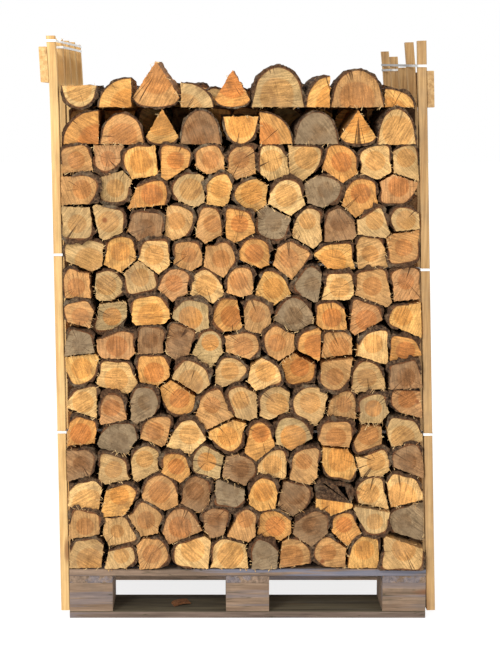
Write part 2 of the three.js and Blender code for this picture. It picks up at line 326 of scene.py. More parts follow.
@dataclass(frozen=True)
class SplitSide:
    """Finish of a billet's split face: long fibres, gone brown and grey."""

    fibres: tuple[float, float, float] = (120.0, 5.0, 120.0)
    weathered: tuple[float, float, float, float] = linear(96, 80, 62)
    roughness: float = 0.9

    def material(self) -> bpy.types.Material:
        """Returns the finish as a material."""
        g = Graph("split face of a billet")
        place = g.place()
        weathering, _, _ = g.split(g.attribute("stock", "Vector"))
        fibres = g.noise(g.stretch(place, self.fibres), 1.0, 4.0, 0.65)
        colour = g.mix(
            0.9, g.attribute("core", "Color"), g.grey(g.step(fibres, 0.25, 0.75, 0.42, 1.0)), "MULTIPLY"
        )
        cloud = g.noise(place, 9.0, 4.0)
        share = g.sum("ADD", g.step(cloud, 0.35, 0.7), g.sum("MULTIPLY", weathering, 0.6), True)
        colour = g.mix(g.sum("MULTIPLY", share, 0.75), colour, self.weathered)
        return g.finish(colour, fibres, 0.004, 0.7, self.roughness)


@dataclass(frozen=True)
class Bark:
    """Finish of bark: dark furrows along the trunk between paler plates, red-brown on the inside."""

    furrow: tuple[float, float, float, float] = linear(50, 34, 23)
    plate: tuple[float, float, float, float] = linear(126, 96, 68)
    inner: tuple[float, float, float, float] = linear(132, 84, 50)
    lichen: tuple[float, float, float, float] = linear(150, 132, 104)
    roughness: float = 0.95

    def material(self) -> bpy.types.Material:
        """Returns the finish as a material."""
        g = Graph("bark")
        place = g.place()
        ridges = g.noise(g.stretch(place, (95.0, 17.0, 95.0)), 1.0, 5.0, 0.68)
        colour = g.mix(g.step(ridges, 0.38, 0.66), self.furrow, self.plate)
        patch = g.noise(place, 19.0, 5.0, 0.62)
        colour = g.mix(g.step(patch, 0.52, 0.7, 0.0, 0.7), colour, self.lichen)
        colour = g.mix(g.step(g.noise(place, 6.0, 2.0), 0.42, 0.62, 0.0, 0.5), colour, linear(88, 56, 32))
        layers = g.sum(
            "ADD", g.attribute("rim", "Fac"), g.sum("MULTIPLY", g.sum("SUBTRACT", patch, 0.5), 1.2)
        )
        colour = g.mix(g.step(layers, 0.15, 0.5, 0.85, 0.0), colour, self.inner)
        crumbs = g.noise(place, 160.0, 4.0, 0.7)
        colour = g.mix(0.85, colour, g.grey(g.step(crumbs, 0.32, 0.68, 0.5, 1.3)), "MULTIPLY")
        relief = g.sum("ADD", ridges, g.sum("MULTIPLY", crumbs, 0.5))
        return g.finish(colour, relief, 0.009, 1.0, self.roughness)


@dataclass(frozen=True)
class Planed:
    """Finish of a sawn board or lath: long grain, odd knots, dirt, old paint if it had any, and painted shade
    on its top above a given height.
    """

    name: str
    grain: Grain
    fresh: tuple[float, float, float, float]
    dark: tuple[float, float, float, float]
    dirt: float = 0.2
    paint: float = 0.0
    # Height above which the board's top is painted in shade.
    shade_above: float = 0.0
    grey: tuple[float, float, float, float] = linear(112, 96, 82)
    paint_colour: tuple[float, float, float, float] = linear(104, 120, 146)
    grime: tuple[float, float, float, float] = linear(74, 66, 48)
    knot: tuple[float, float, float, float] = linear(128, 80, 44)
    roughness: float = 0.8

    def material(self) -> bpy.types.Material:
        """Returns the finish as a material."""
        g = Graph(self.name)
        place = g.place()
        grain = g.noise(g.stretch(place, self.grain.value), 1.0, 5.0, 0.65)
        colour = g.mix(g.step(grain, 0.3, 0.7), self.dark, self.fresh)
        fine = g.noise(g.stretch(place, tuple(value * 4.5 for value in self.grain.value)), 1.0, 3.0, 0.6)
        colour = g.mix(0.7, colour, g.grey(g.step(fine, 0.3, 0.7, 0.78, 1.14)), "MULTIPLY")
        scale = tuple(max(2.2, value * 0.13) for value in self.grain.value)
        spot = g.node(
            "ShaderNodeTexVoronoi", {"Vector": g.stretch(place, scale), "Scale": 1.0}
        ).outputs["Distance"]
        colour = g.mix(g.step(spot, 0.14, 0.05, 0.0, 0.75), colour, self.knot)
        cloud = g.noise(place, 13.0, 5.0, 0.62)
        colour = g.mix(g.step(cloud, 0.42, 0.68, 0.0, self.dirt), colour, self.grey)
        if self.paint:
            worn = g.noise(g.stretch(place, tuple(value * 0.35 for value in self.grain.value)), 1.0, 4.0)
            colour = g.mix(g.step(worn, 0.53, 0.6, 0.0, self.paint), colour, self.paint_colour)
            split = g.noise(g.stretch(place, tuple(value * 0.8 for value in self.grain.value)), 1.0, 2.0)
            colour = g.mix(
                g.step(g.sum("ABSOLUTE", g.sum("SUBTRACT", split, 0.5)), 0.002, 0.012, 0.7, 0.0),
                colour,
                self.grime
            )
        # Painted shade: above this height the board's top goes dark olive brown, as in the shade under the
        # deck.
        if self.shade_above:
            top = g.step(g.split(place)[2], self.shade_above, self.shade_above + 0.0008)
            colour = g.mix(
                g.sum("MULTIPLY", top, 0.85),
                colour,
                g.mix(g.step(grain, 0.3, 0.7), linear(62, 56, 42), linear(96, 88, 66))
            )
        return g.finish(
            colour, g.sum("ADD", grain, g.sum("MULTIPLY", fine, 0.4)), 0.0015, 0.7, self.roughness
        )


@dataclass(frozen=True)
class FlatTie:
    """Finish of the flat ties: white, faintly ribbed and dusty, and dull with painted shade where they run
    among the billets.
    """

    white: tuple[float, float, float, float] = linear(250, 250, 247)
    dust: tuple[float, float, float, float] = linear(214, 208, 198)
    # Colour of the painted shade on the ties where they run among the billets.
    dull: tuple[float, float, float, float] = linear(66, 52, 40)
    among: float = 0.545
    roughness: float = 0.45

    def material(self) -> bpy.types.Material:
        """Returns the finish as a material."""
        g = Graph("flat white tie")
        place = g.place()
        x, _, z = g.split(place)
        colour = g.mix(g.step(g.noise(place, 30.0, 3.0), 0.45, 0.7, 0.0, 0.5), self.white, self.dust)
        # Painted shade: between the laths, the ties go dark where they run among the billets.
        inside = g.step(g.sum("ABSOLUTE", x), self.among - 0.01, self.among + 0.01, 0.85, 0.0)
        colour = g.mix(inside, colour, self.dull)
        ribs = g.sum("SINE", g.sum("MULTIPLY", z, 4200.0))
        return g.finish(colour, ribs, 0.0003, 0.4, self.roughness)


@dataclass(frozen=True)
class Straw:
    """Finish of torn splinters: pale straw with a darker streak."""

    pale: tuple[float, float, float, float] = linear(232, 196, 138)
    dull: tuple[float, float, float, float] = linear(170, 122, 72)
    roughness: float = 0.8

    def material(self) -> bpy.types.Material:
        """Returns the finish as a material."""
        g = Graph("torn splinter")
        streak = g.noise(g.place(), 45.0, 3.0)
        return g.finish(
            g.mix(g.step(streak, 0.35, 0.65), self.dull, self.pale), streak, 0.001, 0.5, self.roughness
        )


def evenly(points: list[Vector], step: float) -> list[Vector]:
    """Spaces points about a step apart along a run of straight lines.

    Args:
        points: The corners of the run.
        step: The distance wanted between points, in metres.

    Returns:
        The spaced points, with the first and last corners kept.
    """
    lengths = [(b - a).length for a, b in zip(points, points[1:])]
    total = sum(lengths)
    count = max(1, round(total / step))
    made = [points[0].copy()]
    index, passed = 0, 0.0
    for k in range(1, count):
        goal = total * k / count
        while passed + lengths[index] < goal:
            passed += lengths[index]
            index += 1
        made.append(points[index].lerp(points[index + 1], (goal - passed) / max(lengths[index], 1e-6)))
    return [*made, points[-1].copy()]


LATH_FACE = 0.6006
LATH_FOOT = 0.027
LEFT_LEAN = 0.0103
LEFT_CLEAR = 0.002
RIGHT_LEAN = 0.0308
RIGHT_CLEAR = 0.004


def lath_faces(z: float) -> tuple[float, float]:
    """Returns how far left and right a billet may reach between the laths at height z, in metres."""
    left = -LATH_FACE - LEFT_LEAN * (z - LATH_FOOT) + LEFT_CLEAR
    return left, LATH_FACE - RIGHT_LEAN * (z - DECK_TOP) - RIGHT_CLEAR


@dataclass(frozen=True)
class Cut:
    """One sawn end as it lies in the stack, in centimetres from the pallet's middle and above its deck.

    The outline is a smooth curve through the points under bark, closed by straight split faces.
    """

    tone: Tone
    bark: tuple[float, ...]
    faces: tuple[float, ...]
    depth: float = 1.2

    @staticmethod
    def pairs(values: tuple[float, ...]) -> list[Vector]:
        """Returns a flat run of numbers as points in metres, on the stack's face."""
        return [
            Vector((values[i] * CM, 0.0, DECK_TOP + values[i + 1] * CM)) for i in range(0, len(values), 2)
        ]

    def runs(self) -> tuple[list[Vector], list[Vector]]:
        """Returns the points under bark and the split corners, clockwise as seen from in front."""
        arc, faces = self.pairs(self.bark), self.pairs(self.faces)
        points = arc + faces
        if sum(a.x * b.z - b.x * a.z for a, b in zip(points, points[1:] + points[:1])) > 0:
            arc.reverse()
            faces.reverse()
        return arc, faces

    def arc(self, step: float) -> list[Vector]:
        """Returns points about a step apart along the curve under the bark."""
        knots = self.runs()[0]
        if len(knots) < 3:
            return evenly(knots, step)
        ends = [knots[0] * 2 - knots[1], *knots, knots[-1] * 2 - knots[-2]]
        fine = []
        for a, b, c, d in zip(ends, ends[1:], ends[2:], ends[3:]):
            for k in range(8):
                t = k / 8
                fine.append(
                    (
                        2 * b
                        + (c - a) * t
                        + (2 * a - 5 * b + 4 * c - d) * t * t
                        + (3 * b - a - 3 * c + d) * t**3
                    )
                    * 0.5
                )
        return evenly([*fine, knots[-1]], step)

    def middle(self) -> Vector:
        """Returns a point well inside the sawn end."""
        points = sum(self.runs(), [])
        return sum(points, Vector()) / len(points)


def trunk(arc: list[Vector], inside: Vector) -> tuple[Vector, float]:
    """Finds the pith of the trunk a billet was split from, and the trunk's radius there.

    Args:
        arc: The curve under the bark.
        inside: A point inside the sawn end.

    Returns:
        The pith and the radius.
    """
    a, b, c = arc[0], arc[len(arc) // 2], arc[-1]
    ab, cb = a - b, c - b
    twist = 2 * (ab.x * cb.z - ab.z * cb.x)
    if abs(twist) > 1e-7:
        la, lc = ab.length_squared, cb.length_squared
        centre = b + Vector(((cb.z * la - ab.z * lc) / twist, 0.0, (ab.x * lc - cb.x * la) / twist))
        radius = (centre - b).length
        if (centre - b).dot(inside - b) > 0 and radius < 0.17:
            return centre, max(radius, 0.045)
    radius = min(0.17, max(0.08, 1.25 * max((p - b).length for p in (a, c, inside))))
    return b + (inside - b).normalized() * radius, radius


@dataclass
class Billet:
    """One billet: a sawn outline drawn back along the stack, with a layer of bark on its round side."""

    cut: Cut
    front: float
    rear: float
    seed: int
    arc_step: float = 0.009
    fibre_step: float = 0.0065
    slices: int = 6
    inset: float = 0.003
    lean: float = 0.05
    rough: float = 0.0035
    drift: float = 0.012
    swell: float = 1.0
    torn: float = 0.0016

    def __post_init__(self) -> None:
        """Picks this billet's own bend and lean, and finds the trunk it came from."""
        self.rng = random.Random(self.seed * 7919 + 11)
        self.centre = self.cut.middle()
        self.under = self.cut.arc(self.arc_step)
        self.pith, self.radius = trunk(self.under, self.centre)
        self.tilt = (self.rng.uniform(-1, 1) * self.lean, self.rng.uniform(-1, 1) * self.lean)
        self.bend = Vector((self.rng.uniform(-1, 1), 0.0, self.rng.uniform(-1, 0.6))) * self.drift
        self.taper = self.rng.uniform(-0.05, 0.03)

    def prism(self, points: list[Vector], weights: list[float]) -> bmesh.types.BMesh:
        """Draws an outline back along the stack into a closed prism cut into slices.

        Args:
            points: The outline, clockwise from in front.
            weights: The rim value of each point.

        Returns:
            The prism, with the attribute layers that the finishes read.
        """
        bm = bmesh.new()
        layers = bm.verts.layers
        layers.float_color.new("tint")
        layers.float_color.new("core")
        layers.float_vector.new("heart")
        layers.float_vector.new("stock")
        rim = layers.float.new("rim")
        verts = [bm.verts.new((p.x, self.front, p.z)) for p in points]
        for vert, weight in zip(verts, weights):
            vert[rim] = weight
        far = bmesh.ops.extrude_face_region(bm, geom=[bm.faces.new(verts)])["geom"]
        far_verts = [v for v in far if isinstance(v, bmesh.types.BMVert)]
        bmesh.ops.translate(bm, verts=far_verts, vec=(0.0, self.rear - self.front, 0.0))
        long_edges = [e for e in bm.edges if abs(e.verts[0].co.y - e.verts[1].co.y) > 0.01]
        bmesh.ops.subdivide_edges(bm, edges=long_edges, cuts=self.slices, use_grid_fill=True)
        bmesh.ops.recalc_face_normals(bm, faces=bm.faces)
        return bm

    def wood(self) -> bmesh.types.BMesh:
        """Makes the wood: flat ends with a narrow rim under the bark, and rough split sides."""
        split = []
        corners = [self.under[-1], *self.cut.runs()[1], self.under[0]]
        for a, b in zip(corners, corners[1:]):
            split += evenly([a, b], self.fibre_step)[1:]
        split = split[:-1]
        for p in split:
            p += Vector((self.rng.uniform(-1, 1), 0.0, self.rng.uniform(-1, 1))) * self.torn
        points = self.under + split
        bm = self.prism(points, [1.0] * len(self.under) + [0.0] * len(split))
        ends = [face for face in bm.faces if len(face.verts) == len(points)]
        for face in bm.faces:
            face.material_index = 0 if face in ends else 1
            face.smooth = face not in ends
        self.roughen(bm)
        if self.inset:
            rim = bm.verts.layers.float["rim"]
            bmesh.ops.inset_region(
                bm, faces=ends, thickness=self.inset, use_even_offset=True, use_boundary=True
            )
            for face in bm.faces:
                if len(face.verts) == len(points):
                    for vert in face.verts:
                        vert[rim] = 0.0
        return bm

    def roughen(self, bm: bmesh.types.BMesh) -> None:
        """Pushes the sides in and out along their fibres, more towards the middle of the length."""
        offset = Vector((self.seed * 1.7, self.seed * 0.9, self.seed * 2.3))
        for vert in bm.verts:
            share = (vert.co.y - self.front) / (self.rear - self.front)
            out = Vector((vert.co.x - self.centre.x, 0.0, vert.co.z - self.centre.z)).normalized()
            where = Vector((vert.co.x * 60, vert.co.y * 5, vert.co.z * 60)) + offset
            vert.co += out * noise.noise(where) * self.rough * (0.35 + 2.2 * min(share, 0.6))

    def layer(self) -> bmesh.types.BMesh | None:
        """Makes the bark: a thin crescent hugging the round side, furrowed on the outside."""
        arc = self.under
        if self.cut.depth <= 0 or len(arc) < 4:
            return None
        depth = self.cut.depth * CM * self.rng.uniform(0.7, 1.35)
        shift = Vector((self.seed * 3.1, 4.0, float(self.seed)))
        outer, normals = [], []
        for index, point in enumerate(arc):
            along = arc[min(index + 1, len(arc) - 1)] - arc[max(index - 1, 0)]
            normal = Vector((-along.z, 0.0, along.x)).normalized()
            share = index / (len(arc) - 1)
            ends = min(1.0, 5.0 * min(share, 1 - share) + 0.25)
            uneven = 1 + 0.75 * noise.noise(Vector((index * self.arc_step * 45, self.seed * 3.1, 0.0)))
            outer.append(point + normal * depth * ends * uneven)
            normals.append(normal)
        inner = [point - normal * 0.0012 for point, normal in zip(arc, normals)][::-1]
        bm = self.prism(outer + inner, [1.0] * len(outer) + [0.0] * len(inner))
        rim = bm.verts.layers.float["rim"]
        for face in bm.faces:
            face.material_index = 2
            face.smooth = len(face.verts) == 4
        for vert in bm.verts:
            if vert[rim] > 0.5:
                nearest = min(
                    range(len(arc)),
                    key=lambda k: (outer[k].x - vert.co.x) ** 2 + (outer[k].z - vert.co.z) ** 2
                )
                where = Vector((vert.co.x * 85, vert.co.y * 14, vert.co.z * 85)) + shift
                vert.co += normals[nearest] * (noise.noise(where) - 0.1) * depth * 0.75
            vert.co.y += 0.0035 * (noise.noise(vert.co * 70) - 0.3) * (
                1 if vert.co.y < (self.front + self.rear) / 2 else -1
            )
        return bm

    def settle(self, bm: bmesh.types.BMesh) -> None:
        """Leans the sawn end, bends and tapers the length, and keeps the billet between the laths."""
        for vert in bm.verts:
            share = (vert.co.y - self.front) / (self.rear - self.front)
            away = vert.co - self.centre
            vert.co.y += (self.tilt[0] * away.x + self.tilt[1] * away.z) * (1 - share)
            vert.co += self.bend * share * share
            grow = self.taper * share + self.swell - 1.0
            vert.co.x += away.x * grow
            vert.co.z += away.z * grow
            left, right = lath_faces(vert.co.z)
            vert.co.x = min(max(vert.co.x, left), right)
            vert.co.z = max(vert.co.z, DECK_TOP + 0.0015)

    def dress(self, bm: bmesh.types.BMesh) -> None:
        """Writes this billet's colours and growth into its attributes, and sharpens its corners."""
        tone = self.cut.tone
        rng = random.Random(self.seed * 104729 + 3)
        light, warm = rng.uniform(0.88, 1.1), rng.uniform(0.96, 1.04)
        values = {
            "tint": tuple(
                c * light * w for c, w in zip(tone.tint, (warm, 1.0, 1 / warm))
            ) + (1.0 - tone.gnarl,),
            "core": tuple(c * light * w for c, w in zip(tone.core, (warm, 1.0, 1 / warm))) + (1.0,),
            "heart": Vector((self.pith.x, self.pith.z, self.radius)),
            "stock": Vector((tone.weathering, rng.random(), tone.sap_edge)),
        }
        layers = bm.verts.layers
        for name, value in values.items():
            layer = (layers.float_color if len(value) == 4 else layers.float_vector)[name]
            for vert in bm.verts:
                vert[layer] = value
        for edge in bm.edges:
            edge.smooth = edge.calc_face_angle(0.0) < 0.62

    def meshes(self) -> list[bpy.types.Mesh]:
        """Builds the wood and the bark, and returns each as a mesh."""
        made = []
        for bm in (self.wood(), self.layer()):
            if bm is None:
                continue
            self.settle(bm)
            self.dress(bm)
            mesh = bpy.data.meshes.new("billet")
            bm.to_mesh(mesh)
            bm.free()
            made.append(mesh)
        return made


class Split(Enum):
    """Kinds of split billet, by the shape of the sawn end."""

    HALF = "half"
    SLAB = "slab"
    QUARTER_LEFT = "quarter_left"
    QUARTER_RIGHT = "quarter_right"
    WEDGE = "wedge"

    def cut(self, box: tuple[float, float, float, float], tone: Tone, depth: float) -> Cut:
        """Draws this kind of sawn end so that it fills a box.

        Args:
            box: Left, low, right and high edges, in centimetres from the pallet's middle and above the deck.
            tone: The wood's colours.
            depth: Depth of the bark in centimetres.

        Returns:
            The sawn end.
        """
        left, low, right, high = box
        wide, tall, middle = right - left, high - low, (left + right) / 2

        def arc(x: float, z: float, across: float, up: float, start: float, end: float) -> tuple[float, ...]:
            """Returns five points of an ellipse, between two angles in half turns."""
            turns = [math.pi * (start + (end - start) * k / 4) for k in range(5)]
            return tuple(value for a in turns for value in (x + across * math.cos(a), z + up * math.sin(a)))

        if self is Split.HALF:
            return Cut(tone, arc(middle, low, wide / 2, tall, 1, 0), (middle, low), depth)
        if self is Split.SLAB:
            return Cut(tone, arc(middle, high, wide / 2, tall, 1, 2), (middle, high), depth)
        if self is Split.QUARTER_LEFT:
            return Cut(tone, arc(right, low, wide, tall, 1, 0.5), (right, low), depth)
        if self is Split.QUARTER_RIGHT:
            return Cut(tone, arc(left, low, wide, tall, 0.5, 0), (left, low), depth)
        sag = 0.2 * tall
        return Cut(tone, arc(middle, low + sag, wide / 2, sag, 1, 2), (middle, high), depth)


# The two highest courses of the front bank, left to right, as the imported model's billets are split.
TOP_SPLITS = (
    Split.QUARTER_LEFT, Split.HALF, Split.WEDGE, Split.HALF, Split.SLAB, Split.QUARTER_RIGHT,
    Split.HALF, Split.WEDGE, Split.HALF,
    Split.SLAB, Split.QUARTER_LEFT, Split.WEDGE, Split.QUARTER_RIGHT, Split.WEDGE, Split.HALF,
    Split.QUARTER_LEFT, Split.HALF, Split.QUARTER_RIGHT,
)
TONE_SHARES = {
    Tone.GOLD: 20, Tone.TAN: 22, Tone.ORANGE: 14, Tone.LIGHT: 14, Tone.PALE: 14, Tone.RED: 5, Tone.BROWN: 6,
    Tone.GREY: 5, Tone.HEART: 4, Tone.ROTTEN: 2, Tone.GRAIN: 2, Tone.BURL: 1,
}


@dataclass
class Courses:
    """Lays the sawn ends of one bank, in staggered places that the split billets fill."""

    low: float
    high: float
    seed: int
    pitch: float = 12.2
    rise: float = 10.2
    stray: float = 0.24
    gap: float = 0.45

    def __post_init__(self) -> None:
        """Starts this bank's own random order."""
        self.rng = random.Random(self.seed)

    def places(self) -> list[Vector]:
        """Returns the staggered middles of the billets, in centimetres."""
        rows = max(2, round((self.high - self.low) / self.rise))
        rise = (self.high - self.low) / rows
        made = []
        for row in range(rows):
            z = self.low + rise * (row + 0.5)
            left, right = (edge / CM for edge in lath_faces(DECK_TOP + z * CM))
            count = round((right - left) / self.pitch) + row % 2
            pitch = (right - left) / count
            for k in range(count):
                x = left + pitch * (k + 0.5) + self.rng.uniform(-1, 1) * self.stray * pitch
                made.append(Vector((x, 0.0, z + self.rng.uniform(-1, 1) * self.stray * rise)))
        return made

    def cell(self, place: Vector, others: list[Vector]) -> list[Vector]:
        """Returns the part of the bank that lies nearer to one place than to any other, less the gap.

        Args:
            place: The billet's place.
            others: Every billet's place.

        Returns:
            The corners, anticlockwise as seen from in front.
        """
        sides = [lath_faces(DECK_TOP + z * CM) for z in (self.low, self.high)]
        left = [side[0] / CM for side in sides]
        right = [side[1] / CM for side in sides]
        shape = [Vector((x, 0.0, z)) for x, z in (
            (left[0], self.low), (right[0], self.low), (right[1], self.high), (left[1], self.high))]
        for other in others:
            away = other - place
            if other is place or away.length > 3 * self.pitch:
                continue
            limit = away.length / 2 - self.gap * self.rng.uniform(0.3, 1.7)
            away.normalize()
            kept = []
            for a, b in zip(shape, shape[1:] + shape[:1]):
                da, db = (a - place).dot(away) - limit, (b - place).dot(away) - limit
                if da <= 0:
                    kept.append(a)
                if (da < 0) != (db < 0):
                    kept.append(a.lerp(b, da / (da - db)))
            shape = kept
        return shape

    def cut(self, place: Vector, others: list[Vector]) -> Cut:
        """Splits one billet to fill its place, with its round side up, down or to one side."""
        shape = self.cell(place, others)
        facing = self.rng.choice((90, 90, 90, 70, 115, 30, 150, 270)) + self.rng.uniform(-15, 15)
        middle = sum(shape, Vector()) / len(shape)
        spread = math.radians(self.rng.uniform(75, 105))
        aim = math.radians(facing)

        def reach(angle: float) -> Vector:
            """Returns the point on the edge of the place in one direction from its middle."""
            way = Vector((math.cos(angle), 0.0, math.sin(angle)))
            best = 99.0
            for a, b in zip(shape, shape[1:] + shape[:1]):
                side = b - a
                cross = way.x * side.z - way.z * side.x
                if abs(cross) > 1e-6:
                    t = ((a.x - middle.x) * side.z - (a.z - middle.z) * side.x) / cross
                    u = ((a.x - middle.x) * way.z - (a.z - middle.z) * way.x) / cross
                    if t > 0 and -1e-4 <= u <= 1.0001:
                        best = min(best, t)
            return middle + way * best

        spokes = [reach(aim + spread * (1 - k / 2)) for k in range(5)]
        span = sum((spoke - middle).length for spoke in spokes) / 5
        bark = [middle + (spoke - middle).normalized() * min((spoke - middle).length, span * 1.2) * 0.93
                for spoke in spokes]

        def turned(corner: Vector) -> float:
            """Returns how far a corner lies clockwise of the end of the round side."""
            angle = math.atan2(corner.z - middle.z, corner.x - middle.x)
            return (aim - spread - angle) % (2 * math.pi)

        open_turn = 2 * math.pi - 2 * spread
        corners = sorted((c for c in shape if 0.12 < turned(c) < open_turn - 0.12), key=turned)
        if not corners:
            corners = [reach(aim + math.pi)]
        tone = self.rng.choices(list(TONE_SHARES), list(TONE_SHARES.values()))[0]
        flat = tuple(value for p in bark for value in (p.x, p.z))
        return Cut(tone, flat, tuple(value for p in corners for value in (p.x, p.z)))

    def lay(self) -> list[Cut]:
        """Returns every sawn end of the bank."""
        places = self.places()
        return [self.cut(place, places) for place in places]


def humps(box: tuple, low: float, count: int, seed: int) -> list[Cut]:
    """Lays a row of billets, flat side down, as the highest course of a bank.

    Args:
        box: The bank's lowest and highest corners, in metres.
        low: Height of the course above the deck, in centimetres.
        count: How many billets.
        seed: Start of the random order.

    Returns:
        The sawn ends.
    """
    rng = random.Random(seed)
    high = (box[1][2] - DECK_TOP) / CM
    left, right = (edge / CM for edge in lath_faces(box[1][2]))
    pitch = (right - left) / count
    made = []
    for k in range(count):
        x = left + pitch * k
        top = low + (high - low) * rng.uniform(0.6, 1.0)
        tone = rng.choices(list(TONE_SHARES), list(TONE_SHARES.values()))[0]
        made.append(Split.HALF.cut((x + 0.4, low, x + pitch - 0.4, top), tone, 0.8))
    return made


class Bank(Enum):
    """The three banks of billets, front to rear: CAD node, front and rear Y."""

    FRONT = ("bank_front", -0.4, -0.15)
    MIDDLE = ("bank_middle", -0.138, 0.125)
    REAR = ("bank_rear", 0.137, 0.4)


@dataclass
class Stack:
    """The three banks of split billets."""

    finishes: tuple[bpy.types.Material, ...]
    uneven: float = 0.012
    course: float = 8.0

    def piece(self, name: str, meshes: list[bpy.types.Mesh], nodes: list[str]) -> bpy.types.Object:
        """Joins billets into one object that stands for its CAD nodes.

        Args:
            name: The object's name.
            meshes: The billets' meshes, which are used up.
            nodes: The CAD nodes it replaces.

        Returns:
            The new object.
        """
        bm = bmesh.new()
        for mesh in meshes:
            bm.from_mesh(mesh)
        made = bpy.data.meshes.new(name)
        bm.to_mesh(made)
        bm.free()
        for mesh in meshes:
            bpy.data.meshes.remove(mesh)
        return add_piece(name, made, self.finishes, nodes)

    def front(self) -> list[Cut]:
        """Makes the front bank, each billet its own object.

        Returns:
            The sawn ends, which the splinters stand along.
        """
        node, front, rear = Bank.FRONT.value
        nodes = [f"billet_{k + 1:02d}" for k in range(len(TOP_SPLITS))]
        top = []
        rng = random.Random(9)
        for name, split in zip(nodes, TOP_SPLITS):
            low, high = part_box(name)
            edges = (low[0] / CM, (low[2] - DECK_TOP) / CM, high[0] / CM, (high[2] - DECK_TOP) / CM)
            tone = rng.choices(list(TONE_SHARES), list(TONE_SHARES.values()))[0]
            top.append(split.cut(edges, tone, 0.7))
        under = (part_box(nodes[0])[0][2] - DECK_TOP) / CM
        laid = Courses(0.4, under - 0.3, 12).lay()
        for index, (cut, name) in enumerate([(c, node) for c in laid] + list(zip(top, nodes))):
            rng = random.Random(index * 31 + 5)
            near = front + rng.uniform(-1, 1) * self.uneven
            billet = Billet(cut, near, rear + rng.uniform(-0.02, 0.006), index + 1)
            self.piece(f"front_billet_{index + 1:03d}", billet.meshes(), [name])
        LOG.info("front bank: %d billets", len(laid) + len(top))
        return laid + top

    def edges(self, bank: Bank, seed: int) -> None:
        """Tucks small barky billets between the laths and one bank, a little back from its face.

        Args:
            bank: Which bank.
            seed: Start of the random order.
        """
        node, front, rear = bank.value
        if bank is Bank.REAR:
            front, rear = rear, front
        rng = random.Random(seed)
        for side in (-1, 1):
            meshes, z, group = [], 1.0, 1
            while z < 148.0:
                tall, wide = rng.uniform(7, 12), rng.uniform(3.2, 5.0)
                wall = lath_faces(DECK_TOP + (z + tall / 2) * CM)[side > 0] / CM
                inner = wall - side * wide
                bark = (wall, z, inner, z + tall * 0.3, inner, z + tall * 0.7, wall, z + tall)
                cut = Cut(rng.choice((Tone.BROWN, Tone.DARK, Tone.TAN)), bark, (wall, z + tall * 0.5), 1.0)
                back = rng.uniform(0.035, 0.06) * (1 if rear > front else -1)
                billet = Billet(cut, front + back, rear, int(900 + 50 * side + z), 0.012, 0.02, 4)
                meshes += billet.meshes()
                z += tall + rng.uniform(0.5, 2.0)
                if z > group * 74.0 or z >= 148.0:
                    self.piece(
                        f"{bank.name.lower()}_edge_{'right' if side > 0 else 'left'}_{group}", meshes, [node]
                    )
                    meshes, group = [], group + 1

    def hidden(self, bank: Bank, count: int, groups: int) -> None:
        """Makes the middle or the rear bank, in a few objects from the lowest billets to the highest.

        Args:
            bank: Which bank.
            count: How many billets lie in its highest course.
            groups: How many objects to share the billets among.
        """
        node, front, rear = bank.value
        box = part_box(node)
        top = (box[1][2] - DECK_TOP) / CM - self.course
        start = 400 if bank is Bank.REAR else 200
        cuts = Courses(0.4, top - 0.3, start).lay() + humps(box, top, count, start + 1)
        size = math.ceil(len(cuts) / groups)
        for group in range(groups):
            meshes = []
            for index, cut in enumerate(cuts[group * size:(group + 1) * size]):
                seed = start + group * size + index
                rng = random.Random(seed)
                low, high = front + rng.uniform(-0.004, 0.012), rear + rng.uniform(-1, 1) * 0.009
                if bank is Bank.REAR:
                    low, high = rear + rng.uniform(-1, 1) * self.uneven, front + rng.uniform(-0.004, 0.012)
                billet = Billet(cut, low, high, seed, 0.013, 0.018, 4, swell=1.02)
                meshes += billet.meshes()
            self.piece(f"{bank.name.lower()}_billets_{group + 1:02d}", meshes, [node])
        LOG.info("%s bank: %d billets", bank.name.lower(), len(cuts))


def add_piece(
    name: str, mesh: bpy.types.Mesh, finishes: tuple, nodes: list[str]
) -> bpy.types.Object:
    """Puts a mesh in the scene as a piece of the object.

    Args:
        name: The object's name.
        mesh: Its mesh, already in place.
        finishes: Its materials, in the order of the mesh's material numbers.
        nodes: The CAD nodes it stands for.

    Returns:
        The new object.
    """
    mesh.name = name
    for finish in finishes:
        mesh.materials.append(finish)
    made = bpy.data.objects.new(name, mesh)
    bpy.context.scene.collection.objects.link(made)
    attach(made, BODY)
    if nodes:
        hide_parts(*nodes)
    return made


